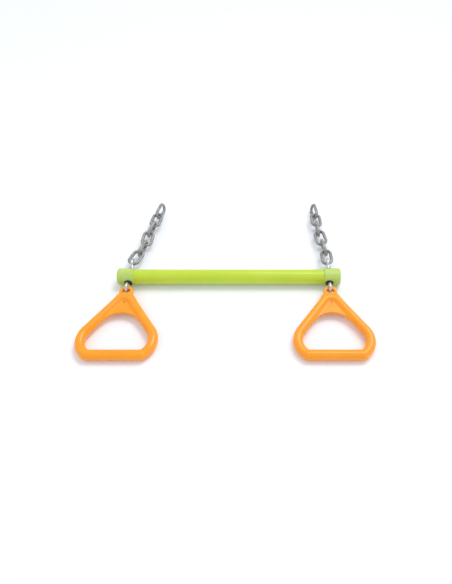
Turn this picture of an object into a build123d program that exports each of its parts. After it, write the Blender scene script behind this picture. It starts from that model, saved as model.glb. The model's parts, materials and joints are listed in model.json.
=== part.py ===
"""Child's trapeze bar with two triangular gym rings, lying on a flat surface.

Millimetres. +X runs along the bar, +Y towards the chains, +Z up. The origin is the middle of the
bar, on its axis. The bar's end caps rest on the surface, which is at z = -cap_outer_d / 2.
"""
from build123d import *
from math import atan2, cos, degrees, hypot, radians, sin
import os

os.makedirs("parts", exist_ok=True)

# ---- bar, end caps and bushes ------------------------------------------------------------
bar_length = 430.0           # over both end caps
tube_outer_d = 28.6          # 1-1/8 in steel tube
tube_wall = 1.5
cap_outer_d = 33.0           # moulded sleeve over each end of the tube
cap_length = 31.0
cap_end_wall = 3.0
cap_edge_round = 4.0
cap_mouth_round = 0.5
cap_fit = 0.05               # radial clearance of the cap on the tube
tube_end_gap = 0.3           # between the tube's end and the cap's end wall
bolt_inset = 22.0            # bolt axis from each end of the bar
bush_flange_d = 15.0
bush_flange_thickness = 1.6
bush_flange_round = 0.5
bush_seat_depth = 1.1        # spot face in the cap under each flange
bush_seat_fit = 0.3          # radial clearance of the flange in its spot face
bush_barrel_d = 9.0
bush_barrel_past_wall = 0.6  # how far the barrel comes through the tube's wall
bush_hole_fit = 0.05         # radial clearance of the barrel in the cap and the tube

# ---- eye bolt, washer and eye nut --------------------------------------------------------
bolt_wire_d = 6.0            # the shank and the bent eye are one wire
bolt_running_fit = 0.08      # radial clearance of the shank in the bushes
bolt_end_float = 0.3         # at each bush, along the shank
bolt_eye_inner_d = 11.2
washer_outer_d = 12.0
washer_thickness = 1.6
washer_fit = 0.2             # radial clearance on the shank
nut_boss_d = 11.6
nut_boss_height = 10.0       # from the washer to the bottom of the eye's opening
nut_boss_round = 1.0
nut_thread_fit = 0.05        # radial clearance that stands for the thread
nut_thread_depth = 7.0
nut_eye_wire_d = 5.6
nut_eye_inner_d = 10.2

# ---- chain -------------------------------------------------------------------------------
link_wire_d = 6.4
link_pitch = 29.0            # inside length
link_inner_w = 11.8
link_gap = 0.8               # between two links, and between the first link and the eye

# How each link lies, from the bar to the free end: how far its long axis leans towards the
# middle of the bar, how far it slopes up from the surface, and how far it is rolled from flat.
left_chain_lie = [
    (20.0, -3.0, 8.0),
    (16.0, 0.0, 100.0),
    (6.0, 2.0, 12.0),
    (15.0, 0.0, 100.0),
    (9.0, 1.0, 0.0),
    (14.0, 0.0, 78.0),
]
right_chain_lie = [
    (4.0, -3.0, 10.0),
    (11.0, 0.0, 100.0),
    (12.0, 2.0, 14.0),
    (4.0, -4.0, 96.0),
    (3.0, -3.0, -8.0),
    (9.0, 1.0, 70.0),
]

# ---- rings -------------------------------------------------------------------------------
ring_half_width = 92.5       # of the triangle that the rods' centrelines would make
ring_height = 136.0
grip_d = 19.2                # bottom rod, held in the hand
grip_half_length = 48.0      # to the bend at each end
grip_bend = 33.0             # degrees, where the grip turns into the corner
corner_d = 18.0
leg_top_d = 16.2
leg_top_setback = 15.5       # from the triangle's apex to the rounded top of each leg
lug_d = 26.8
lug_thickness = 8.8
lug_edge_round = 2.95
lug_hole_w = 14.5
lug_hole_h = 9.2
lug_bar_w = 9.1              # material between the hole and the top of the lug
lug_above_apex = 1.05        # lug centre above the triangle's apex
ring_sag = 0.2               # the lug hangs this far below the middle of the bolt's eye
neck_half_width = 12.3
neck_drop = 6.0
web_thickness = 6.0
arch_r = 40.0                # concave lower edge of the web
gate_mark_d = 3.0
gate_mark_depth = 0.8
gate_mark_below_apex = 24.0

# ---- worked out from the sizes above -----------------------------------------------------
bolt_x = bar_length / 2 - bolt_inset
floor_z = -cap_outer_d / 2
bush_seat_y = cap_outer_d / 2 - bush_seat_depth
flange_face_y = bush_seat_y + bush_flange_thickness
tube_inner_r = tube_outer_d / 2 - tube_wall
bush_barrel_length = bush_seat_y - tube_inner_r + bush_barrel_past_wall
bolt_r = bolt_wire_d / 2
bolt_eye_r = (bolt_eye_inner_d + bolt_wire_d) / 2
bolt_eye_y = -(flange_face_y + bolt_end_float + bolt_eye_r + bolt_r)
washer_y = flange_face_y + bolt_end_float
boss_y = washer_y + washer_thickness
nut_eye_r = (nut_eye_inner_d + nut_eye_wire_d) / 2
nut_eye_y = boss_y + nut_boss_height + nut_eye_inner_d / 2
link_r = link_wire_d / 2
crown_r = (link_inner_w + link_wire_d) / 2
link_half = (link_pitch + link_wire_d) / 2
link_straight = link_pitch - link_inner_w
ring_hinge_y = bolt_eye_y - ring_sag
side_names = {-1: "left", 1: "right"}


def save(piece, name):
    """Label a finished piece and write its STEP file."""
    piece.part.label = name
    export_step(piece.part, "parts/" + name + ".step")


def across(x, y):
    """Plane square to the bolt axis, facing +Y, at a place along that axis."""
    return Plane(origin=(x, y, 0), x_dir=(1, 0, 0), z_dir=(0, 1, 0))


# ---- bar tube ----------------------------------------------------------------------------
tube_half = bar_length / 2 - cap_end_wall - tube_end_gap
cross_hole_r = bush_barrel_d / 2 + bush_hole_fit

with BuildPart() as bar_tube:
    with BuildSketch(Plane.YZ):
        Circle(tube_outer_d / 2)
        Circle(tube_inner_r, mode=Mode.SUBTRACT)
    extrude(amount=tube_half, both=True)
    with BuildSketch(Plane.XZ):
        with Locations((-bolt_x, 0), (bolt_x, 0)):
            Circle(cross_hole_r)
    extrude(amount=tube_outer_d, both=True, mode=Mode.SUBTRACT)
save(bar_tube, "bar_tube")


def make_cap(side):
    """Moulded sleeve with a closed, rounded outer end and a spot face under each bush."""
    mouth_x = side * (bar_length / 2 - cap_length)
    with BuildPart() as cap:
        with BuildSketch(Plane.YZ.offset(mouth_x)):
            Circle(cap_outer_d / 2)
        extrude(amount=side * cap_length)
        ends = cap.edges().filter_by(GeomType.CIRCLE).sort_by(Axis.X)
        outer, mouth = (ends[-1], ends[0]) if side > 0 else (ends[0], ends[-1])
        fillet(outer, cap_edge_round)
        fillet(mouth, cap_mouth_round)
        with BuildSketch(Plane.YZ.offset(mouth_x)):
            Circle(tube_outer_d / 2 + cap_fit)
        extrude(amount=side * (cap_length - cap_end_wall), mode=Mode.SUBTRACT)
        for facing in (-1, 1):
            with BuildSketch(across(side * bolt_x, facing * bush_seat_y)):
                Circle(bush_flange_d / 2 + bush_seat_fit)
            extrude(amount=facing * cap_outer_d, mode=Mode.SUBTRACT)
        with BuildSketch(across(side * bolt_x, 0)):
            Circle(cross_hole_r)
        extrude(amount=cap_outer_d, both=True, mode=Mode.SUBTRACT)
    return cap


def make_bush(side, facing):
    """Flanged bush in the cap's and tube's hole, flange outwards (facing +1 is the chain side)."""
    seat = across(side * bolt_x, facing * bush_seat_y)
    with BuildPart() as bush:
        with BuildSketch(seat):
            Circle(bush_flange_d / 2)
        extrude(amount=facing * bush_flange_thickness)
        rims = bush.edges().filter_by(GeomType.CIRCLE).sort_by(Axis.Y)
        fillet(rims[-1] if facing > 0 else rims[0], bush_flange_round)
        with BuildSketch(seat):
            Circle(bush_barrel_d / 2)
        extrude(amount=-facing * bush_barrel_length)
        with BuildSketch(seat):
            Circle(bolt_r + bolt_running_fit)
        extrude(amount=bush_barrel_length * 2, both=True, mode=Mode.SUBTRACT)
    return bush


def make_eye_bolt(side):
    """Wire bolt: a bent closed eye below the bar, its shank up through the bar into the nut."""
    x = side * bolt_x
    shank_top = boss_y + nut_thread_depth - bolt_end_float
    with BuildPart() as bolt:
        with BuildSketch(Plane(origin=(x, bolt_eye_y - bolt_eye_r, 0))):
            Circle(bolt_r)
        revolve(axis=Axis((x, bolt_eye_y, 0), (1, 0, 0)))
        with BuildSketch(across(x, bolt_eye_y + bolt_eye_r)):
            Circle(bolt_r)
        extrude(amount=shank_top - bolt_eye_y - bolt_eye_r)
    return bolt


def make_washer(side):
    """Flat washer between the upper bush and the eye nut."""
    with BuildPart() as washer:
        with BuildSketch(across(side * bolt_x, washer_y)):
            Circle(washer_outer_d / 2)
            Circle(bolt_r + washer_fit, mode=Mode.SUBTRACT)
        extrude(amount=washer_thickness)
    return washer


def make_eye_nut(side):
    """Forged eye nut: a round threaded boss with a ring on top for the chain."""
    x = side * bolt_x
    with BuildPart() as nut:
        with BuildSketch(across(x, boss_y)):
            Circle(nut_boss_d / 2)
        extrude(amount=nut_boss_height - nut_eye_wire_d / 2)
        fillet(nut.edges().filter_by(GeomType.CIRCLE).sort_by(Axis.Y)[-1], nut_boss_round)
        with BuildSketch(Plane(origin=(x, nut_eye_y - nut_eye_r, 0))):
            Circle(nut_eye_wire_d / 2)
        revolve(axis=Axis((x, nut_eye_y, 0), (1, 0, 0)))
        with BuildSketch(across(x, boss_y)):
            Circle(bolt_r + nut_thread_fit)
        extrude(amount=nut_thread_depth, mode=Mode.SUBTRACT)
    return nut


def link_frame(centre, lie, side):
    """Plane of one link: local Y along the link, local Z square to its face.

    lie is (lean, slope, roll) in degrees. Leaning turns the link about +Z towards the middle of
    the bar, sloping lifts its far end, and rolling turns it about its own long axis.
    """
    lean, slope, roll = (radians(angle) for angle in lie)
    along = Vector(-side * sin(lean) * cos(slope), cos(lean) * cos(slope), sin(slope))
    level = Vector(cos(lean), side * sin(lean), 0)
    upright = level.cross(along)
    face = upright * cos(roll) - level * (side * sin(roll))
    return Plane(origin=centre, x_dir=along.cross(face), z_dir=face)


def lay_chain(side, lies):
    """Planes and hinges of one chain, link by link from the eye nut.

    Each link hangs on the crown of the one before it, so it turns about that crown's tangent,
    which is its parent's local X. The first turns about the tangent of the eye nut's ring.
    """
    pivot = Vector(side * bolt_x, nut_eye_y + nut_eye_r, 0)
    tangent = Vector(0, 0, 1)
    hook = (nut_eye_wire_d + link_wire_d) / 2 + link_gap
    chain = []
    for lie in lies:
        along = link_frame(pivot, lie, side).y_dir
        plane = link_frame(pivot + along * (link_half - hook), lie, side)
        chain.append((plane, pivot, tangent))
        pivot = plane.origin + along * link_half
        tangent = plane.x_dir
        hook = link_wire_d + link_gap
    return chain


def make_link(plane):
    """Welded link of round wire: two straight sides and two half-round crowns."""
    with BuildPart() as link:
        for hand in (-1, 1):
            foot = plane.from_local_coords((hand * crown_r, -link_straight / 2, 0))
            with BuildSketch(Plane(origin=foot, x_dir=plane.x_dir, z_dir=plane.y_dir)):
                Circle(link_r)
            extrude(amount=link_straight)
            start = plane.from_local_coords((hand * crown_r, hand * link_straight / 2, 0))
            middle = plane.from_local_coords((0, hand * link_straight / 2, 0))
            with BuildSketch(Plane(origin=start, x_dir=plane.x_dir, z_dir=plane.y_dir)):
                Circle(link_r)
            revolve(axis=Axis(middle, plane.z_dir), revolution_arc=180)
    return link


# ---- ring geometry, in the ring's own plane: hinge at (0, 0), ring towards -Y ------------
lug_centre_y = -(lug_bar_w / 2 + lug_hole_h / 2)
apex_y = lug_centre_y - lug_above_apex
base_y = apex_y - ring_height
leg_length = hypot(ring_half_width, ring_height)
leg_x = -ring_half_width / leg_length
leg_y = ring_height / leg_length
bend_x = sin(radians(grip_bend))
bend_y = cos(radians(grip_bend))

# The corner arc leaves the grip's end at grip_bend and ends tangent to the leg's centreline.
corner_reach = (ring_half_width - grip_half_length) * leg_y
corner_r = corner_reach / (1 - bend_x * leg_y - bend_y * leg_x)
corner_centre = (grip_half_length - corner_r * bend_x, base_y + corner_r * bend_y)
corner_arc = degrees(atan2(leg_y, leg_x)) - grip_bend
corner_end = (corner_centre[0] + corner_r * leg_y, corner_centre[1] - corner_r * leg_x)
leg_top = (-leg_x * leg_top_setback, apex_y - leg_y * leg_top_setback)

# Circle of the web's arch, tangent to the inner sides of both legs.
inner_apex_y = apex_y + corner_d / 2 / leg_x
arch_centre_y = inner_apex_y + arch_r / leg_x

# The ring lies with its grip on the surface and its lug held up in the bolt's eye.
ring_tilt = atan2(-floor_z - grip_d / 2, -base_y)


def ring_plane(side):
    """Plane of one ring, hinge at its origin, tilted so that the grip touches the surface."""
    return Plane(
        origin=(side * bolt_x, ring_hinge_y, 0),
        x_dir=(1, 0, 0),
        z_dir=(0, -sin(ring_tilt), cos(ring_tilt)),
    )


def make_ring(side):
    """One-piece moulded ring: lug, two legs, web, corners and grip."""
    plane = ring_plane(side)

    def at(x, y):
        return plane.from_local_coords((x, y, 0))

    def square_to(x, y, direction):
        """Plane at a point of the ring, square to a direction in the ring's plane."""
        way = plane.from_local_coords(Vector(*direction)) - plane.origin
        return Plane(origin=at(x, y), x_dir=plane.z_dir, z_dir=way)

    with BuildPart() as ring:
        with BuildSketch(plane):
            with Locations((0, lug_centre_y)):
                Circle(lug_d / 2)
                SlotOverall(lug_hole_w, lug_hole_h, mode=Mode.SUBTRACT)
        extrude(amount=lug_thickness / 2, both=True)
        rims = ring.edges().filter_by(lambda edge: abs(edge.tangent_at(0).dot(plane.z_dir)) < 0.5)
        fillet(rims, lug_edge_round)

        neck_top = lug_centre_y - lug_hole_h / 2 - 0.6
        neck_low = neck_top - neck_drop
        with BuildSketch(plane):
            Polygon(
                (-neck_half_width, neck_top),
                (neck_half_width, neck_top),
                (neck_half_width - leg_x * neck_drop / 2, neck_low),
                (leg_x * neck_drop / 2 - neck_half_width, neck_low),
                align=None,
            )
        extrude(amount=lug_thickness / 2, both=True)

        web_low = arch_centre_y - arch_r * leg_x
        web_half = (apex_y - web_low) * ring_half_width / ring_height
        with BuildSketch(plane):
            Polygon((0, neck_top), (-web_half, web_low), (web_half, web_low), align=None)
            with Locations((0, arch_centre_y)):
                Circle(arch_r, mode=Mode.SUBTRACT)
        extrude(amount=web_thickness / 2, both=True)
        with BuildSketch(plane.offset(web_thickness / 2)):
            with Locations((0, apex_y - gate_mark_below_apex)):
                Circle(gate_mark_d / 2)
        extrude(amount=-gate_mark_depth, mode=Mode.SUBTRACT)

        for hand in (-1, 1):
            with BuildSketch(square_to(hand * corner_end[0], corner_end[1], (hand * leg_x, leg_y))):
                Circle(corner_d / 2)
            with BuildSketch(square_to(hand * leg_top[0], leg_top[1], (hand * leg_x, leg_y))):
                Circle(leg_top_d / 2)
            loft()
            with Locations(at(hand * leg_top[0], leg_top[1])):
                Sphere(leg_top_d / 2)
            grip_end = (hand * grip_half_length, base_y)
            with BuildSketch(square_to(*grip_end, (hand * bend_y, bend_x))):
                Circle(corner_d / 2)
            hub = at(hand * corner_centre[0], corner_centre[1])
            revolve(axis=Axis(hub, plane.z_dir * hand), revolution_arc=corner_arc)
            with Locations(at(*grip_end)):
                Sphere(grip_d / 2)
        with BuildSketch(square_to(0, base_y, (1, 0))):
            Circle(grip_d / 2)
        extrude(amount=grip_half_length, both=True)
    return ring


chain_lies = {-1: left_chain_lie, 1: right_chain_lie}
chains = {side: lay_chain(side, chain_lies[side]) for side in side_names}

for side, side_name in side_names.items():
    save(make_cap(side), side_name + "_end_cap")
    save(make_bush(side, 1), side_name + "_upper_bush")
    save(make_bush(side, -1), side_name + "_lower_bush")
    save(make_eye_bolt(side), side_name + "_eye_bolt")
    save(make_washer(side), side_name + "_washer")
    save(make_eye_nut(side), side_name + "_eye_nut")
    save(make_ring(side), side_name + "_ring")
    for number, (plane, pivot, tangent) in enumerate(chains[side], start=1):
        save(make_link(plane), side_name + "_chain_link_" + str(number))
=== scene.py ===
# %% [markdown]
# # A trapeze bar with two gym rings
# A child's trapeze bar hangs from a swing frame on two short chains, with a triangular ring below
# each end of the bar. Here it lies on a pale floor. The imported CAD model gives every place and
# every joint. This lesson gives each piece its finished surface and its material.

# %% Load the frame
import bpy
import json
import numpy as np
from math import atan2, cos, degrees, hypot, pi, radians, sin
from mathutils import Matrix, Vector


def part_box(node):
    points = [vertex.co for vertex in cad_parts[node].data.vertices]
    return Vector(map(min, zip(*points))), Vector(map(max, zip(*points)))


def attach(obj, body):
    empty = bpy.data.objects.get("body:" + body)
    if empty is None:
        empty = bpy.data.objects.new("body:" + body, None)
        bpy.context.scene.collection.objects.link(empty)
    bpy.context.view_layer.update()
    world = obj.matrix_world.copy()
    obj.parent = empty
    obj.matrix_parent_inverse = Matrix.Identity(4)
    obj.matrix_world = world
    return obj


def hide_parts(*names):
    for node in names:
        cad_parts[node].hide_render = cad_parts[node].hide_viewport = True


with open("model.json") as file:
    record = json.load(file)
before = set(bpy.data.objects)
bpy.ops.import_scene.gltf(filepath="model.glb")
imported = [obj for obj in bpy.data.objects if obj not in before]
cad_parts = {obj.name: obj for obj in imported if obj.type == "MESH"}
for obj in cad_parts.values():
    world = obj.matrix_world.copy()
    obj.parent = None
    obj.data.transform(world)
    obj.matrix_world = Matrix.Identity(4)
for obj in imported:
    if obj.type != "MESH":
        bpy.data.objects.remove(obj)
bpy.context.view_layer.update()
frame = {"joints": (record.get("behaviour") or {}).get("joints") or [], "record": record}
mm = 0.001
sides = {"left": -1, "right": 1}
joint_of = {joint["child"]: joint for joint in frame["joints"]}
mount_of = {mount["name"]: mount for mount in frame["record"]["mounts"]}

# %% [markdown]
# ## Sizes that the frame already holds
# A designer reads a size from the model instead of typing it again, so that the two can't drift
# apart. A node's box gives its length and its radius, and a joint gives its place and its axis.
# They are turned into millimetres, because the object's own sizes are easiest to read that way.


# %% Read places and sizes in millimetres
def span(node):
    """Lowest and highest corner of a CAD node, in millimetres."""
    low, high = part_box(node)
    return np.array(low) / mm, np.array(high) / mm


cap_low, cap_high = span("right_end_cap")
tube_high = span("bar_tube")[1]
cap_r = cap_high[2]
cap_length = cap_high[0] - cap_low[0]
tube_r = tube_high[2]
tube_half = tube_high[0]
bolt_x = joint_of["right_swivel"]["pos_m"][0] / mm
ring_hinge_y = joint_of["right_ring"]["pos_m"][1] / mm
floor_z = -cap_r
print("bar", 2 * cap_high[0], "tube across", 2 * tube_r, "bolts at", bolt_x)

# %% [markdown]
# ## Camera, light and floor
# A product on a white sweep stands in a white room, so that every side of it gets some light. A
# broad high light from the right and behind gives soft shadows that fall to the left and forward.
# A long narrow box beside it draws the bright line along the bar's upper third. The camera stands
# in front of the rings with a normal lens and looks down at the floor, which is part of the stage,
# not of the object. Its last touch of brightness is its own light, so that it stays white.

# %% Camera
camera_data = bpy.data.cameras.new("product_camera")
camera_data.lens = 32.49
camera_data.sensor_width = 36.0
camera_data.shift_x = -0.0753
camera_data.shift_y = -0.0034
camera = bpy.data.objects.new("product_camera", camera_data)
camera.location = (0.07889, -0.67701, 0.76697)
camera.rotation_euler = (radians(40.0), 0.0, 0.0)
bpy.context.scene.collection.objects.link(camera)
bpy.context.scene.camera = camera
bpy.context.scene.view_settings.view_transform = "Standard"


# %% Colours and one way to add a node
def linear(text):
    """Linear RGBA of an sRGB hex colour: each channel c becomes ((c + 0.055) / 1.055) ** 2.4."""
    c = np.array([int(text[i : i + 2], 16) / 255 for i in (0, 2, 4)])
    c = np.where(c > 0.04045, ((c + 0.055) / 1.055) ** 2.4, c / 12.92)
    return (*c.tolist(), 1.0)


def feed(tree, node, inputs):
    """Links each socket to the node's input of that name, and sets each plain value on it."""
    for name, value in inputs.items():
        if isinstance(value, bpy.types.NodeSocket):
            tree.links.new(value, node.inputs[name])
        else:
            node.inputs[name].default_value = value


def add(tree, kind, settings=None, inputs=None, stops=None):
    """Adds one shader node, with its settings, its inputs (values or sockets) and its stops."""
    made = tree.nodes.new(kind)
    for name, value in (settings or {}).items():
        setattr(made, name, value)
    feed(tree, made, inputs or {})
    for number, (place, colour) in enumerate(stops or ()):
        elements = made.color_ramp.elements
        element = elements[number] if number < len(elements) else elements.new(place)
        element.position = place
        element.color = colour
    return made


def new_material(name):
    """An empty material: its node tree, its Principled shader and the Object coordinates."""
    material = bpy.data.materials.new(name)
    material.use_nodes = True
    tree = material.node_tree
    tree.nodes.clear()
    shader = add(tree, "ShaderNodeBsdfPrincipled")
    add(tree, "ShaderNodeOutputMaterial", inputs={"Surface": shader.outputs["BSDF"]})
    place = add(tree, "ShaderNodeTexCoord").outputs["Object"]
    return material, tree, shader, place


# %% Patterns for the finishes
def noise(tree, place, size, detail, distortion=0.0):
    """Cloudy noise from 0 to 1 whose lumps are size mm across, with detail octaves inside them."""
    inputs = {"Vector": place, "Scale": 1000 / size, "Detail": detail, "Distortion": distortion}
    return add(tree, "ShaderNodeTexNoise", inputs=inputs).outputs["Fac"]


def tinted(tree, value, stops):
    """A colour for each value, straight between stops of (value, hex colour)."""
    stops = [(at, linear(text)) for at, text in stops]
    return add(tree, "ShaderNodeValToRGB", inputs={"Fac": value}, stops=stops).outputs["Color"]


def between(tree, value, low, high):
    """A value from 0 to 1 spread from low to high."""
    inputs = {"Value": value, "To Min": low, "To Max": high}
    return add(tree, "ShaderNodeMapRange", inputs=inputs).outputs["Result"]


def bumps(tree, height, strength, depth):
    """A surface direction that follows a height of depth mm."""
    inputs = {"Height": height, "Strength": strength, "Distance": depth * mm}
    return add(tree, "ShaderNodeBump", inputs=inputs).outputs["Normal"]


# %% Studio light
def area_light(name, place, aim, size, power, colour):
    """A rectangular soft box: place and aim in metres, size (along, across) and watts."""
    data = bpy.data.lights.new(name, "AREA")
    data.shape = "RECTANGLE"
    data.size, data.size_y = size
    data.energy = power
    data.color = linear(colour)[:3]
    box = bpy.data.objects.new(name, data)
    box.location = place
    way = np.array(place) - np.array(aim)
    box.rotation_euler = (atan2(hypot(way[0], way[1]), way[2]), 0.0, atan2(way[0], -way[1]))
    bpy.context.scene.collection.objects.link(box)


def high_light(name, strength, spread, tilt_back, tilt_right):
    """A far round source: its strength, its width and its two tilts in degrees set the shadows."""
    data = bpy.data.lights.new(name, "SUN")
    data.energy = strength
    data.angle = radians(spread)
    source = bpy.data.objects.new(name, data)
    source.rotation_euler = (radians(-tilt_back), radians(tilt_right), 0.0)
    bpy.context.scene.collection.objects.link(source)


area_light("key_box", (0.26, 0.30, 1.05), (0.10, 0.0, 0.0), (0.62, 0.2), 2.2, "fffefc")
high_light("high_light", 0.8, 28.0, 24.0, 26.0)

world = bpy.data.worlds.new("white_room")
world.use_nodes = True
background = world.node_tree.nodes["Background"]
background.inputs["Color"].default_value = linear("f4f6f8")
background.inputs["Strength"].default_value = 0.9
bpy.context.scene.world = world

# %% Floor
floor_half = 3.0
floor_drop = 0.0002
floor_lines = 25
floor_height = floor_z * mm - floor_drop
steps = np.linspace(-floor_half, floor_half, floor_lines)
floor_xy = np.stack(np.meshgrid(steps, steps, indexing="ij"), axis=-1).reshape(-1, 2)
floor_points = np.column_stack([floor_xy, np.full(len(floor_xy), floor_height)])
cells = np.arange(floor_lines - 1)
row, column = np.meshgrid(cells, cells, indexing="ij")
first = (row * floor_lines + column).ravel()
beyond = first + floor_lines
floor_faces = np.column_stack([first, beyond, beyond + 1, first + 1])
floor_mesh = bpy.data.meshes.new("studio_floor")
floor_mesh.from_pydata(floor_points.tolist(), [], floor_faces.tolist())
floor = bpy.data.objects.new("studio_floor", floor_mesh)
bpy.context.scene.collection.objects.link(floor)
floor_finish, tree, shader, place = new_material("white_paper_sweep")
tone = tinted(tree, noise(tree, place, 25, 2.0), [(0.0, "f0f2f8"), (1.0, "f4f5fa")])
feed(
    tree,
    shader,
    {
        "Base Color": tone,
        "Roughness": 0.8,
        "Emission Color": linear("ffffff"),
        "Emission Strength": 0.04,
    },
)
floor_mesh.materials.append(floor_finish)

# %% [markdown]
# ## The finishes
# Every finish starts from the real one. The bar is steel under a smooth lime gloss coat, which
# flows a little as it cures, so it has faint orange peel. The sleeves are soft moulded vinyl, paler
# and less shiny. The rings are moulded polyethylene in orange, glossy, with a little depth in the
# colour. The chain is dip galvanised: dull grey, with cloudy patches. The eyes, nuts and washers
# are bright zinc plate. The bushes are black nylon. Patterns are worked out from sizes in
# millimetres: a pattern of size s mm has a scale of 1000 / s in metres of Object coordinates.


# %% Lime gloss coat on the tube
def lime_gloss_coat():
    """Powder-coated steel: a clear lime gloss with faint orange peel, 3 mm from lump to lump."""
    material, tree, shader, place = new_material("lime_gloss_coat")
    tint = tinted(tree, noise(tree, place, 45, 2.0), [(0.3, "bad432"), (0.7, "c1d93b")])
    dust = between(tree, noise(tree, place, 6, 4.0), 0.2, 0.3)
    peel = bumps(tree, noise(tree, place, 3, 1.0), 0.25, 0.08)
    feed(tree, shader, {"Base Color": tint, "Roughness": dust, "Normal": peel, "IOR": 1.5})
    return material


# %% Pale vinyl of the sleeves
def pale_lime_vinyl():
    """Moulded soft vinyl: satin, paler than the tube, with a fine moulded grain of 0.9 mm."""
    material, tree, shader, place = new_material("pale_lime_vinyl")
    tint = tinted(tree, noise(tree, place, 14, 3.0), [(0.3, "b2cc63"), (0.7, "bbd46d")])
    grain = noise(tree, place, 0.9, 2.0)
    dull = between(tree, grain, 0.38, 0.52)
    skin_grain = bumps(tree, grain, 0.3, 0.1)
    feed(tree, shader, {"Base Color": tint, "Roughness": dull, "Normal": skin_grain, "IOR": 1.52})
    return material


# %% Orange moulded polyethylene of the rings
def orange_polyethylene():
    """Moulded polyethylene: light enters a little way, flow clouds of 30 mm, skin grain of 1 mm.

    The mesh's gate_mark attribute is 1 at the small mark where the plastic ran in, and 0 elsewhere.
    """
    material, tree, shader, place = new_material("orange_polyethylene")
    flow = noise(tree, place, 30, 3.0, 0.6)
    tint = tinted(tree, flow, [(0.3, "ff9a0c"), (0.7, "ffa214")])
    gate = add(tree, "ShaderNodeAttribute", settings={"attribute_name": "gate_mark"})
    marked = add(
        tree,
        "ShaderNodeMix",
        settings={"data_type": "RGBA"},
        inputs={0: gate.outputs["Fac"], 6: tint, 7: linear("a85f10")},
    )
    rubbed = between(tree, noise(tree, place, 8, 5.0), 0.24, 0.36)
    grain = bumps(tree, noise(tree, place, 1.0, 2.0), 0.15, 0.06)
    feed(tree, shader, {"Base Color": marked.outputs[2], "Roughness": rubbed, "Normal": grain})
    depth = {"Subsurface Weight": 0.12, "Subsurface Scale": 2.0 * mm}
    feed(tree, shader, {"IOR": 1.52, "Subsurface Radius": (1.0, 0.45, 0.12), **depth})
    return material


# %% Galvanised steel of the chain
def dip_galvanised_steel():
    """Hot-dip zinc on steel: dull grey, crystal patches of 2.5 mm, clouds of 7 mm, lumpy skin."""
    material, tree, shader, place = new_material("dip_galvanised_steel")
    cloud = noise(tree, place, 7, 4.0)
    crystal = add(tree, "ShaderNodeTexVoronoi", inputs={"Vector": place, "Scale": 1000 / 2.5})
    mixed = add(
        tree,
        "ShaderNodeMath",
        settings={"operation": "MULTIPLY_ADD"},
        inputs={0: crystal.outputs["Distance"], 1: 0.35, 2: cloud},
    )
    greys = [(0.35, "747573"), (0.62, "929392"), (0.85, "adaeac")]
    tint = tinted(tree, mixed.outputs["Value"], greys)
    dull = between(tree, cloud, 0.42, 0.62)
    lumps = bumps(tree, noise(tree, place, 1.6, 3.0), 0.45, 0.15)
    feed(tree, shader, {"Base Color": tint, "Roughness": dull, "Normal": lumps, "Metallic": 0.6})
    return material


# %% Bright zinc plate of the swivels
def bright_zinc_plate():
    """Electroplated zinc: a bright, slightly blue metal with drawing marks along the wire."""
    material, tree, shader, place = new_material("bright_zinc_plate")
    stretch = {"Vector": place, "Scale": (1.0, 0.2, 1.0)}
    drawn = add(tree, "ShaderNodeMapping", inputs=stretch).outputs["Vector"]
    marks = noise(tree, drawn, 0.7, 3.0)
    tint = tinted(tree, marks, [(0.3, "c3c7c6"), (0.75, "dcdfdf")])
    dull = between(tree, marks, 0.16, 0.34)
    lines = bumps(tree, marks, 0.2, 0.03)
    feed(tree, shader, {"Base Color": tint, "Roughness": dull, "Normal": lines, "Metallic": 1.0})
    return material


# %% Black nylon of the bushes
def black_nylon():
    """Moulded nylon: near black, satin, with a fine grain of 0.6 mm and grey rubbed patches."""
    material, tree, shader, place = new_material("black_nylon")
    tint = tinted(tree, noise(tree, place, 3, 4.0), [(0.35, "202325"), (0.8, "36393b")])
    grain = bumps(tree, noise(tree, place, 0.6, 1.0), 0.3, 0.05)
    feed(tree, shader, {"Base Color": tint, "Roughness": 0.45, "Normal": grain, "IOR": 1.53})
    return material


finishes = {
    "tube_paint": lime_gloss_coat(),
    "cap_plastic": pale_lime_vinyl(),
    "ring_plastic": orange_polyethylene(),
    "chain_galvanised": dip_galvanised_steel(),
    "zinc_hardware": bright_zinc_plate(),
    "bush_nylon": black_nylon(),
}
print("finishes", sorted(finishes))

# %% [markdown]
# ## From points to a piece
# A mesh is a list of points and a list of faces. Most hardware here is round, so its surface is a
# grid of two parameters that closes on itself both ways, like a doughnut: a washer, a bush, a tube
# with its bore and a chain link all do. One function turns such a grid into faces.


# %% Make and place a piece
def piece(name, points, faces, body, slot, sharp=None):
    """A finished mesh from points in millimetres, riding on its body in place of its CAD node."""
    mesh = bpy.data.meshes.new(name)
    mesh.from_pydata((np.asarray(points) * mm).tolist(), [], np.asarray(faces).tolist())
    mesh.polygons.foreach_set("use_smooth", np.ones(len(mesh.polygons), dtype=bool))
    if sharp:
        mesh.set_sharp_from_angle(angle=radians(sharp))
    mesh.materials.append(finishes[slot])
    made = bpy.data.objects.new(name + "_surface", mesh)
    bpy.context.scene.collection.objects.link(made)
    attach(made, body)
    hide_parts(name)
    return made


def closed_grid(grid):
    """Points and faces of a grid of points (rows, columns, 3) that closes on itself both ways."""
    rows, columns = grid.shape[:2]
    i, j = np.meshgrid(np.arange(rows), np.arange(columns), indexing="ij")
    below, beside = (i + 1) % rows, (j + 1) % columns
    corners = [i * columns + j, i * columns + beside, below * columns + beside, below * columns + j]
    return grid.reshape(-1, 3), np.stack(corners, axis=-1).reshape(-1, 4)


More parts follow.
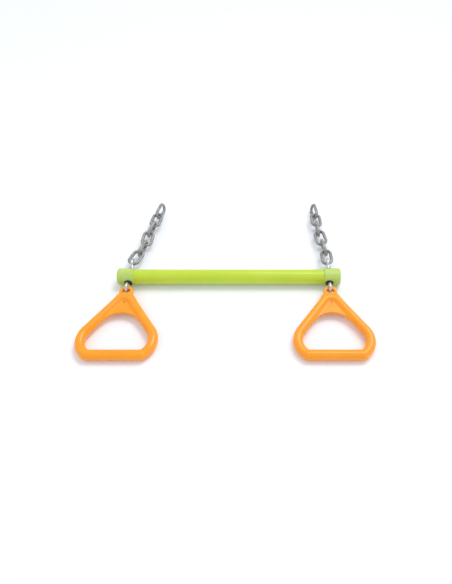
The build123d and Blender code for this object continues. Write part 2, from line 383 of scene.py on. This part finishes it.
# %% Profiles with rounded corners, turned about an axis
def rounded_loop(corners, radius, arc_steps=5):
    """A closed outline: each corner becomes an arc tangent to its two sides.

    At a corner with half angle h, the arc starts radius / tan(h) before the corner.
    """
    corners = np.array(corners, dtype=float)
    outline = []
    for here, before, after in zip(corners, np.roll(corners, 1, 0), np.roll(corners, -1, 0)):
        back = (before - here) / np.linalg.norm(before - here)
        on = (after - here) / np.linalg.norm(after - here)
        half = np.arccos(np.clip(back @ on, -1, 1)) / 2
        middle = here + (back + on) / np.linalg.norm(back + on) * radius / sin(half)
        start = here + back * radius / np.tan(half) - middle
        end = here + on * radius / np.tan(half) - middle
        share = np.linspace(0, 1, arc_steps)[:, None]
        turn = np.arccos(np.clip(start @ end / radius**2, -1, 1))
        arc = np.sin((1 - share) * turn) * start + np.sin(share * turn) * end
        outline.append(middle + arc / sin(turn))
    return np.concatenate(outline)


def turned(outline, segments):
    """A closed outline of (along, out) carried round the X axis: (along, out cos a, out sin a)."""
    angle = np.linspace(0, 2 * pi, segments, endpoint=False)
    along, out = outline[:, 0], outline[:, 1]
    return np.stack(
        [
            np.broadcast_to(along, (segments, len(along))),
            np.outer(np.cos(angle), out),
            np.outer(np.sin(angle), out),
        ],
        axis=-1,
    )


def stand_on_bolt(grid, side):
    """Turns a piece made along X so that it stands along Y on a side's bolt axis."""
    x, y, z = grid[..., 0], grid[..., 1], grid[..., 2]
    return np.stack([side * bolt_x - y, x, z], axis=-1)


# %% [markdown]
# ## Moulded and forged shapes from a distance formula
# The rings, the sleeves and the eyes are moulded or forged, so their parts melt into each other
# with soft fillets. Booleans with bevels could do it, but they break where several fillets meet.
# A distance formula is simpler. It gives, for any point, how far it is outside (+) or inside (-)
# the shape. Two shapes join with a soft minimum, which rounds the crease by a chosen amount.
# The skin is where the formula is zero: one vertex goes into each grid cell that the skin crosses,
# neighbouring cells are joined by quads, and every vertex is then pulled onto the exact zero.


# %% Distance formulas
def soft_join(a, b, width):
    """The smaller of two distances, rounded over the stretch where they differ by under width."""
    share = np.clip(0.5 + 0.5 * (b - a) / width, 0.0, 1.0)
    return b + (a - b) * share - width * share * (1.0 - share)


def soft_common(a, b, width):
    """The larger of two distances, rounded in the same way: what two shapes have in common."""
    return -soft_join(-a, -b, width)


def rounded_slab(out, height, edge):
    """A flat shape from its outline distance and its distance past the faces, with round edges."""
    out, height = out + edge, height + edge
    corner = np.hypot(np.maximum(out, 0.0), np.maximum(height, 0.0))
    return np.minimum(np.maximum(out, height), 0.0) + corner - edge


def rod(x, y, z, start, end, start_r, end_r):
    """A round-ended rod in the plane z = 0: distance to the segment less a radius that tapers."""
    dx, dy = end[0] - start[0], end[1] - start[1]
    share = np.clip(((x - start[0]) * dx + (y - start[1]) * dy) / (dx * dx + dy * dy), 0.0, 1.0)
    gap = np.sqrt((x - start[0] - share * dx) ** 2 + (y - start[1] - share * dy) ** 2 + z**2)
    return gap - start_r - (end_r - start_r) * share


# %% Skin of a distance formula
def pull_to_skin(points, distance, step):
    """Newton steps: each point moves by -distance / slope along the formula's gradient."""
    for _ in range(4):
        here = distance(*points.T)
        reach = 0.05 * step
        nudges = np.eye(3) * reach
        slope = np.stack(
            [(distance(*(points + n).T) - distance(*(points - n).T)) / (2 * reach) for n in nudges],
            axis=1,
        )
        size = np.maximum((slope**2).sum(1), 0.2)
        points = points - np.clip(here / size, -step, step)[:, None] * slope
    return points


def skin(distance, low, high, step):
    """Points and outward quads where a distance formula is zero, on a grid of the given step."""
    axes = [np.arange(a - 1.5 * step, b + 2.5 * step, step) for a, b in zip(low, high)]
    inside = distance(*np.meshgrid(*axes, indexing="ij")) < 0
    size = np.array(inside.shape) - 1
    corners = np.stack(np.meshgrid([0, 1], [0, 1], [0, 1], indexing="ij"), -1).reshape(-1, 3)
    count = np.zeros(size, dtype=int)
    for i, j, k in corners:
        count += inside[i : i + size[0], j : j + size[1], k : k + size[2]]
    crossed = (count > 0) & (count < 8)
    number = np.full(crossed.shape, -1)
    number[crossed] = np.arange(crossed.sum())
    points = np.array([a[0] for a in axes]) + (np.argwhere(crossed) + 0.5) * step
    faces = []
    for axis in range(3):
        near, far = np.moveaxis(inside, axis, 0)[:-1], np.moveaxis(inside, axis, 0)[1:]
        edge = np.argwhere(np.moveaxis(near != far, 0, axis))
        across, up = np.eye(3, dtype=int)[(axis + 1) % 3], np.eye(3, dtype=int)[(axis + 2) % 3]
        quad = np.stack([number[tuple((edge - d).T)] for d in (across + up, up, 0 * up, across)], 1)
        outward = inside[tuple(edge.T)]
        faces.append(np.where(outward[:, None], quad, quad[:, ::-1]))
    faces = np.concatenate(faces)
    for _ in range(2):
        points = pull_to_skin(points, distance, step)
        centres = points[faces].mean(1)
        shares = np.bincount(faces.ravel(), minlength=len(points))
        total = [np.bincount(faces.ravel(), np.repeat(c, 4), len(points)) for c in centres.T]
        points = 0.5 * points + 0.5 * np.stack(total, 1) / shares[:, None]
    return pull_to_skin(points, distance, step), faces


# %% [markdown]
# ## The rings
# Each ring is one moulding: a straight grip, two arched corners, two legs that taper a little to
# the top, a rounded crown where they meet, a thin web below it with a hollow lower edge, and a lug
# with an oval hole that hangs on the bolt's eye. The skin lies a little inside the CAD's, so that
# the soft joins don't swell past it. It could be a curve with a bevel, but a curve can't grow a
# web, so it is a distance formula in the ring's own plane: x across, y up from the grip to the lug,
# z through it. The hinge is at (0, 0). Both halves are alike, so x is taken without its sign where
# that helps.

# %% Sizes of the ring, in millimetres
half_width = 92.5
height = 136.0
grip_r = 9.6
grip_half = 48.0
grip_bend = radians(33.0)
corner_r = 9.0
leg_top_r = 8.1
leg_top_setback = 15.5
lug_r = 13.4
lug_half = 4.4
lug_edge = 2.95
hole_half_w = 7.25
hole_half_h = 4.6
lug_bar_w = 9.1
neck_half_w = 12.3
neck_drop = 6.0
web_half = 3.0
skin_inset = 0.09
arch_r = 40.0
crown_arc_r = 17.0
lug_y = -(lug_bar_w / 2 + hole_half_h)
apex_y = lug_y - 1.05
base_y = apex_y - height
leg_length = hypot(half_width, height)
leg_x, leg_y = half_width / leg_length, height / leg_length
turn_r = (half_width - grip_half) * leg_y / (1 - sin(grip_bend) * leg_y + cos(grip_bend) * leg_x)
turn_x = grip_half - turn_r * sin(grip_bend)
turn_y = base_y + turn_r * cos(grip_bend)
leg_foot = (turn_x + turn_r * leg_y, turn_y + turn_r * leg_x)
leg_top = (leg_x * leg_top_setback, apex_y - leg_y * leg_top_setback)
arch_y = apex_y - corner_r / leg_x - arch_r / leg_x
gate_y = apex_y - 24.0
gate_ball_r = 1.9
gate_ball_z = web_half + 1.1
gate_mark_r = 2.1
ring_step = 0.85
print("leg", round(leg_length, 1), "corner arc radius", round(turn_r, 1))


# %% Distance formula of the ring
def corner_arc(x, y, z):
    """A bent rod: distance to an arc from the grip's bend to the leg's foot, less its radius."""
    start, end = grip_bend - pi / 2, atan2(leg_x, leg_y)
    angle = np.clip(np.arctan2(y - turn_y, x - turn_x), start, end)
    near_x, near_y = turn_x + turn_r * np.cos(angle), turn_y + turn_r * np.sin(angle)
    return np.sqrt((x - near_x) ** 2 + (y - near_y) ** 2 + z**2) - corner_r


def web(x, y, z):
    """The plate between the legs, above the arch circle; its tip runs up into the lug's hole."""
    side = x * leg_y + (y - apex_y) * leg_x
    arch = arch_r - np.hypot(x, y - arch_y)
    low = arch_y + arch_r * leg_x - y
    return rounded_slab(np.maximum(np.maximum(side, arch), low), np.abs(z) - web_half, 0.8)


def crown(x, y, z):
    """A bent rod that carries one leg over into the other, on an arc that touches both."""
    middle_y = apex_y - crown_arc_r / leg_x
    reach = atan2(leg_y, leg_x)
    angle = np.clip(np.arctan2(x, y - middle_y), -reach, reach)
    near_x, near_y = crown_arc_r * np.sin(angle), middle_y + crown_arc_r * np.cos(angle)
    return np.sqrt((x - near_x) ** 2 + (y - near_y) ** 2 + z**2) - leg_top_r


def lug(x, y, z):
    """A disc with round edges and a neck below it, with an oval hole right through."""
    disc = rounded_slab(np.hypot(x, y - lug_y) - lug_r, np.abs(z) - lug_half, lug_edge)
    top = lug_y - hole_half_h - 0.6
    sides = (x - neck_half_w) * leg_y + (y - top) * leg_x
    sheet = np.maximum(np.maximum(sides, y - top), top - neck_drop - y)
    neck = rounded_slab(sheet, np.abs(z) - lug_half, 1.5)
    hole = np.hypot(np.maximum(x - hole_half_w + hole_half_h, 0.0), y - lug_y) - hole_half_h
    return soft_common(soft_join(disc, neck, 3.0), -hole, 1.6)


def ring(x, y, z):
    """Grip, corners, legs, web and lug, each joined softly; a small gate mark is left by moulding."""
    across = np.abs(x)
    grip = rod(across, y, z, (0.0, base_y), (grip_half, base_y), grip_r, grip_r)
    bend = corner_arc(across, y, z)
    legs = soft_join(
        rod(x, y, z, leg_foot, leg_top, corner_r, leg_top_r),
        rod(-x, y, z, leg_foot, leg_top, corner_r, leg_top_r),
        5.0,
    )
    body = soft_join(soft_join(grip, bend, 1.2), legs, 0.8)
    body = soft_join(body, web(across, y, z), 3.5)
    body = soft_join(body, crown(x, y, z), 1.5)
    body = soft_join(body, lug(across, y, z), 3.0)
    gate = np.sqrt(x**2 + (y - gate_y) ** 2 + (z - gate_ball_z) ** 2) - gate_ball_r
    return soft_common(body, -gate, 0.5) + skin_inset


# %% Skin and place both rings
ring_reach = turn_x + turn_r + corner_r
ring_points, ring_faces = skin(
    ring,
    (-ring_reach, base_y - grip_r, -grip_r),
    (ring_reach, lug_y + lug_r, grip_r),
    ring_step,
)
tilt = atan2(-floor_z - grip_r, -base_y)
print("ring", len(ring_faces), "quads, tilt", round(degrees(tilt), 2))
for side_name, side in sides.items():
    across, along, through = ring_points.T
    placed = np.stack(
        [
            side * bolt_x + across,
            ring_hinge_y + along * cos(tilt) - through * sin(tilt),
            along * sin(tilt) + through * cos(tilt),
        ],
        axis=1,
    )
    made = piece(side_name + "_ring", placed, ring_faces, side_name + "_ring", "ring_plastic")
    from_gate = np.hypot(across, along - gate_y)
    mark = made.data.attributes.new("gate_mark", "FLOAT", "POINT")
    darkness = np.clip(gate_mark_r - from_gate, 0.0, 1.0)
    mark.data.foreach_set("value", np.where(through > 0, darkness, 0.0))

# %% [markdown]
# ## The bar tube
# The bar is a plain steel tube, a profile turned about the X axis: out along the outside, in
# over the rounded end, and back along the bore. The Boolean modifiers are meant to cut a cross
# hole for each bolt, but the walls come out whole, so the bolt's shank passes through them.

# %% Turn the tube and apply the drills
tube_wall = 1.5
tube_segments = 128
hole_r = 4.55
stations = np.linspace(-tube_half + 2.0, tube_half - 2.0, 61)
outside = np.column_stack([stations, np.full(len(stations), tube_r)])
inside_wall = np.column_stack([stations[::-1], np.full(len(stations), tube_r - tube_wall)])
lip_angle = np.linspace(0, pi, 7)[1:-1]
lip = np.column_stack([np.sin(lip_angle), np.cos(lip_angle)]) * tube_wall / 2
right_lip = lip + (tube_half - tube_wall / 2, tube_r - tube_wall / 2)
left_lip = -lip + (-tube_half + tube_wall / 2, tube_r - tube_wall / 2)
tube_outline = np.concatenate([outside, right_lip, inside_wall, left_lip])
tube_points, tube_faces = closed_grid(turned(tube_outline, tube_segments))
tube = piece("bar_tube", tube_points, tube_faces[:, ::-1], "bar", "tube_paint")
drill_half = 20
drill_corners = [(-drill_half, 0.5), (drill_half, 0.5), (drill_half, hole_r), (-drill_half, hole_r)]
drill_outline = rounded_loop(drill_corners, 0.2)
drills = []
for side in sides.values():
    drill_points, drill_faces = closed_grid(stand_on_bolt(turned(drill_outline, 48), side))
    drill_mesh = bpy.data.meshes.new("drill")
    drill_mesh.from_pydata((drill_points * mm).tolist(), [], drill_faces[:, ::-1].tolist())
    drill = bpy.data.objects.new("drill", drill_mesh)
    bpy.context.scene.collection.objects.link(drill)
    drills.append(drill)
    cut = tube.modifiers.new("cross_hole", "BOOLEAN")
    cut.operation = "DIFFERENCE"
    cut.solver = "EXACT"
    cut.object = drill
drilled = bpy.data.meshes.new_from_object(tube.evaluated_get(bpy.context.evaluated_depsgraph_get()))
tube.modifiers.clear()
tube.data = drilled
for drill in drills:
    bpy.data.objects.remove(drill)
print("tube", len(tube.data.polygons), "faces")

# %% [markdown]
# ## The sleeves
# A sleeve closes each end of the bar. It is one moulding with a well rounded outer end, a small
# round at its mouth, and two flat round seats, one for each bush, sunk into its side. The seats
# cross a curved wall, so the sleeve is a distance formula too: a turned outline less a bore, less
# the two seats, less the cross hole. x runs from the mouth to the outer end.

# %% Distance formula of the sleeve
end_round = 4.0
mouth_round = 0.9
end_wall = 3.0
bore_r = tube_r + 0.05
seat_depth = 1.1
seat_r = 7.8
seat_x = cap_length - (cap_high[0] - bolt_x)
sleeve_step = 0.55


def sleeve(x, y, z):
    """A rounded cup less its bore, the two seats and the cross hole."""
    out = np.hypot(y, z)
    cup = rounded_slab(out - cap_r, x - cap_length, end_round)
    cup = soft_common(cup, -x, mouth_round)
    cup = soft_common(cup, -np.maximum(out - bore_r, x - cap_length + end_wall), 0.5)
    from_bolt = np.hypot(x - seat_x, z)
    seat = np.maximum(from_bolt - seat_r, cap_r - seat_depth - np.abs(y))
    return soft_common(soft_common(cup, -seat, 0.5), hole_r - from_bolt, 0.3)


# %% Skin and place both sleeves
sleeve_points, sleeve_faces = skin(
    sleeve, (0, -cap_r, -cap_r), (cap_length, cap_r, cap_r), sleeve_step
)
print("sleeve", len(sleeve_faces), "quads")
for side_name, side in sides.items():
    reach, y, z = sleeve_points.T
    placed = np.stack([side * (cap_high[0] - cap_length + reach), side * y, z], axis=1)
    piece(side_name + "_end_cap", placed, sleeve_faces, "bar", "cap_plastic")

# %% [markdown]
# ## Bushes and washers
# A flanged bush lines each cross hole, so that steel doesn't wear on plastic, and a washer lies
# between the upper bush and the nut. Both are turned: an outline of two values, how far along the
# bolt and how far out, with every corner slightly rounded, carried once round the bolt.

# %% Turn the bushes and washers
flange = 1.6
barrel_r = 4.5
bush_bore_r = 3.08
washer_bore_r = 3.2
round_segments = 72
for side_name, side in sides.items():
    for where, facing in (("upper", 1), ("lower", -1)):
        name = f"{side_name}_{where}_bush"
        low, high = span(name)
        flange_r = (high[2] - low[2]) / 2
        inner, outer = (low[1], high[1]) if facing > 0 else (-high[1], -low[1])
        seat = outer - flange
        corners = [
            (inner, bush_bore_r),
            (outer, bush_bore_r),
            (outer, flange_r),
            (seat, flange_r),
            (seat, barrel_r),
            (inner, barrel_r),
        ]
        grid = stand_on_bolt(turned(rounded_loop(corners, 0.35), round_segments), side)
        grid[..., 1] *= facing
        points, faces = closed_grid(grid)
        piece(name, points, faces[:, ::-1] if facing > 0 else faces, "bar", "bush_nylon", sharp=50)
    name = side_name + "_washer"
    low, high = span(name)
    washer_r = (high[2] - low[2]) / 2
    corners = [
        (low[1], washer_bore_r),
        (high[1], washer_bore_r),
        (high[1], washer_r),
        (low[1], washer_r),
    ]
    grid = stand_on_bolt(turned(rounded_loop(corners, 0.3), round_segments), side)
    points, faces = closed_grid(grid)
    piece(name, points, faces[:, ::-1], side_name + "_swivel", "zinc_hardware", sharp=50)

# %% [markdown]
# ## Eye bolts and eye nuts
# The bolt is one forging: a round eye in the plane of the shank, and the shank itself, which
# passes up through the bar. The nut has a round boss under a smaller eye for the chain. Where an
# eye meets its shank or boss the forging leaves a fillet, so both are distance formulas: a
# doughnut is the distance to a circle less the wire's radius.


# %% Distance formulas of the swivel
def eye(x, y, z, centre_y, circle_r, wire_r):
    """Distance to a circle about the X axis, less the wire's radius."""
    return np.hypot(np.hypot(y - centre_y, z) - circle_r, x) - wire_r


def post(x, y, z, radius, low, high, edge):
    """A round post along Y with rounded ends."""
    return rounded_slab(np.hypot(x, z) - radius, np.maximum(y - high, low - y), edge)


bolt_low, bolt_high = span("left_eye_bolt")
nut_low, nut_high = span("left_eye_nut")
bolt_r = (bolt_high[0] - bolt_low[0]) / 2
bolt_circle_r = (bolt_high[2] - bolt_low[2]) / 2 - bolt_r
bolt_eye_y = bolt_low[1] + bolt_r + bolt_circle_r
boss_r = (nut_high[0] - nut_low[0]) / 2
nut_wire_r = 2.8
nut_circle_r = (nut_high[2] - nut_low[2]) / 2 - nut_wire_r
nut_eye_y = nut_high[1] - nut_wire_r - nut_circle_r
thread_r = 3.05
thread_depth = 7.0
eye_step = 0.42


def eye_bolt(x, y, z):
    """A closed eye and a shank, with a small fillet between them."""
    shank = post(x, y, z, bolt_r, bolt_eye_y + bolt_circle_r, bolt_high[1], 0.5)
    return soft_join(eye(x, y, z, bolt_eye_y, bolt_circle_r, bolt_r), shank, 0.6)


def eye_nut(x, y, z):
    """An eye on a round boss with a forged fillet, less the threaded hole from below."""
    boss = post(x, y, z, boss_r, nut_low[1], nut_eye_y - nut_circle_r, 1.0)
    solid = soft_join(boss, eye(x, y, z, nut_eye_y, nut_circle_r, nut_wire_r), 2.0)
    thread = np.maximum(np.hypot(x, z) - thread_r, y - nut_low[1] - thread_depth)
    return soft_common(solid, -thread, 0.3)


# %% Skin and place the swivels
swivel_shapes = [
    ("_eye_bolt", eye_bolt, (bolt_low[1], bolt_high[1]), bolt_circle_r + bolt_r),
    ("_eye_nut", eye_nut, (nut_low[1], nut_high[1]), nut_circle_r + nut_wire_r),
]
for ending, formula, (low_y, high_y), reach in swivel_shapes:
    points, faces = skin(formula, (-boss_r, low_y, -reach), (boss_r, high_y, reach), eye_step)
    print(ending, len(faces), "quads")
    for side_name, side in sides.items():
        placed = points + (side * bolt_x, 0.0, 0.0)
        piece(side_name + ending, placed, faces, side_name + "_swivel", "zinc_hardware")

# %% [markdown]
# ## The chains
# A chain link is a piece of round wire bent to a stadium and butt welded in the middle of one
# straight side. The wire's path is a function of the distance along it: up one side, round the
# crown, down the other side and round again. A circle is carried along that path. The weld is a
# low swelling with a burr on each side of its seam, and the dip of zinc leaves the wire slightly
# uneven, so the circle's radius varies along the wire and round it. Each link's place comes from
# the joints: it hangs on its own joint, and the next link's joint is at its far crown.

# %% Sizes of a link, in millimetres
wire_r = 3.2
crown_r = 9.1
straight = 17.2
link_half = straight / 2 + crown_r
link_length = 2 * pi * crown_r + 2 * straight
zinc_inset = 0.05
weld_swell = 0.22
burr_place = 1.5
wire_steps = 176
wire_segments = 28


# %% A link in its own plane
def link_path(share):
    """Place and inward direction on a stadium, by the share of its length from one side's foot."""
    run = share * link_length
    bend = pi * crown_r
    side_two = straight + bend
    first_bend = np.clip(run - straight, 0, bend) / crown_r
    second_bend = np.clip(run - side_two - straight, 0, bend) / crown_r
    angle = first_bend + second_bend
    rise = np.clip(run, 0, straight) - np.clip(run - side_two, 0, straight) - straight / 2
    inward = -np.stack([np.cos(angle), np.sin(angle)], axis=-1)
    return -inward * crown_r + np.stack([0 * rise, rise], axis=-1), inward


def link_grid(number):
    """A circle carried along the stadium: centre + r (inward cos a + across sin a)."""
    share = np.arange(wire_steps) / wire_steps
    angle = np.linspace(0, 2 * pi, wire_segments, endpoint=False)
    centre, inward = link_path(share)
    from_seam = share * link_length - straight / 2
    burrs = np.exp(-((np.abs(from_seam) - burr_place) ** 2) / 0.8)
    seam = np.exp(-((from_seam / 0.6) ** 2))
    weld = weld_swell * (burrs - 0.7 * seam)
    wave = np.sin(2 * pi * (3 * share[:, None] + number * 0.37) + 2 * angle)
    ripple = np.sin(2 * pi * (11 * share[:, None] + number * 0.61) + 3 * angle)
    radius = wire_r - zinc_inset + weld[:, None] + 0.03 * wave + 0.02 * ripple
    toward = radius * np.cos(angle)
    flat = centre[:, None] + toward[..., None] * inward[:, None]
    return np.concatenate([flat, (radius * np.sin(angle))[..., None]], axis=-1)


# %% Lay the links
def unit(vector):
    """The same direction with a length of one."""
    return np.asarray(vector) / np.linalg.norm(vector)


for side_name in sides:
    names = [f"{side_name}_chain_link_{number}" for number in range(1, 7)]
    pivots = [np.array(joint_of[name]["pos_m"]) / mm for name in names]
    hang = mount_of[side_name + "_hang_link"]
    for number, name in enumerate(names):
        if number + 1 < len(names):
            along = unit(pivots[number + 1] - pivots[number])
            width = unit(joint_of[names[number + 1]]["axis"])
            centre = pivots[number + 1] - along * link_half
        else:
            top = np.array(hang["pos_m"]) / mm
            along = unit(top - pivots[number])
            width = unit(np.cross(along, hang["axis"]))
            centre = top - along * straight / 2
        through = np.cross(width, along)
        grid = link_grid(number) @ np.stack([width, along, through]) + centre
        points, faces = closed_grid(grid)
        piece(name, points, faces, name, "chain_galvanised")
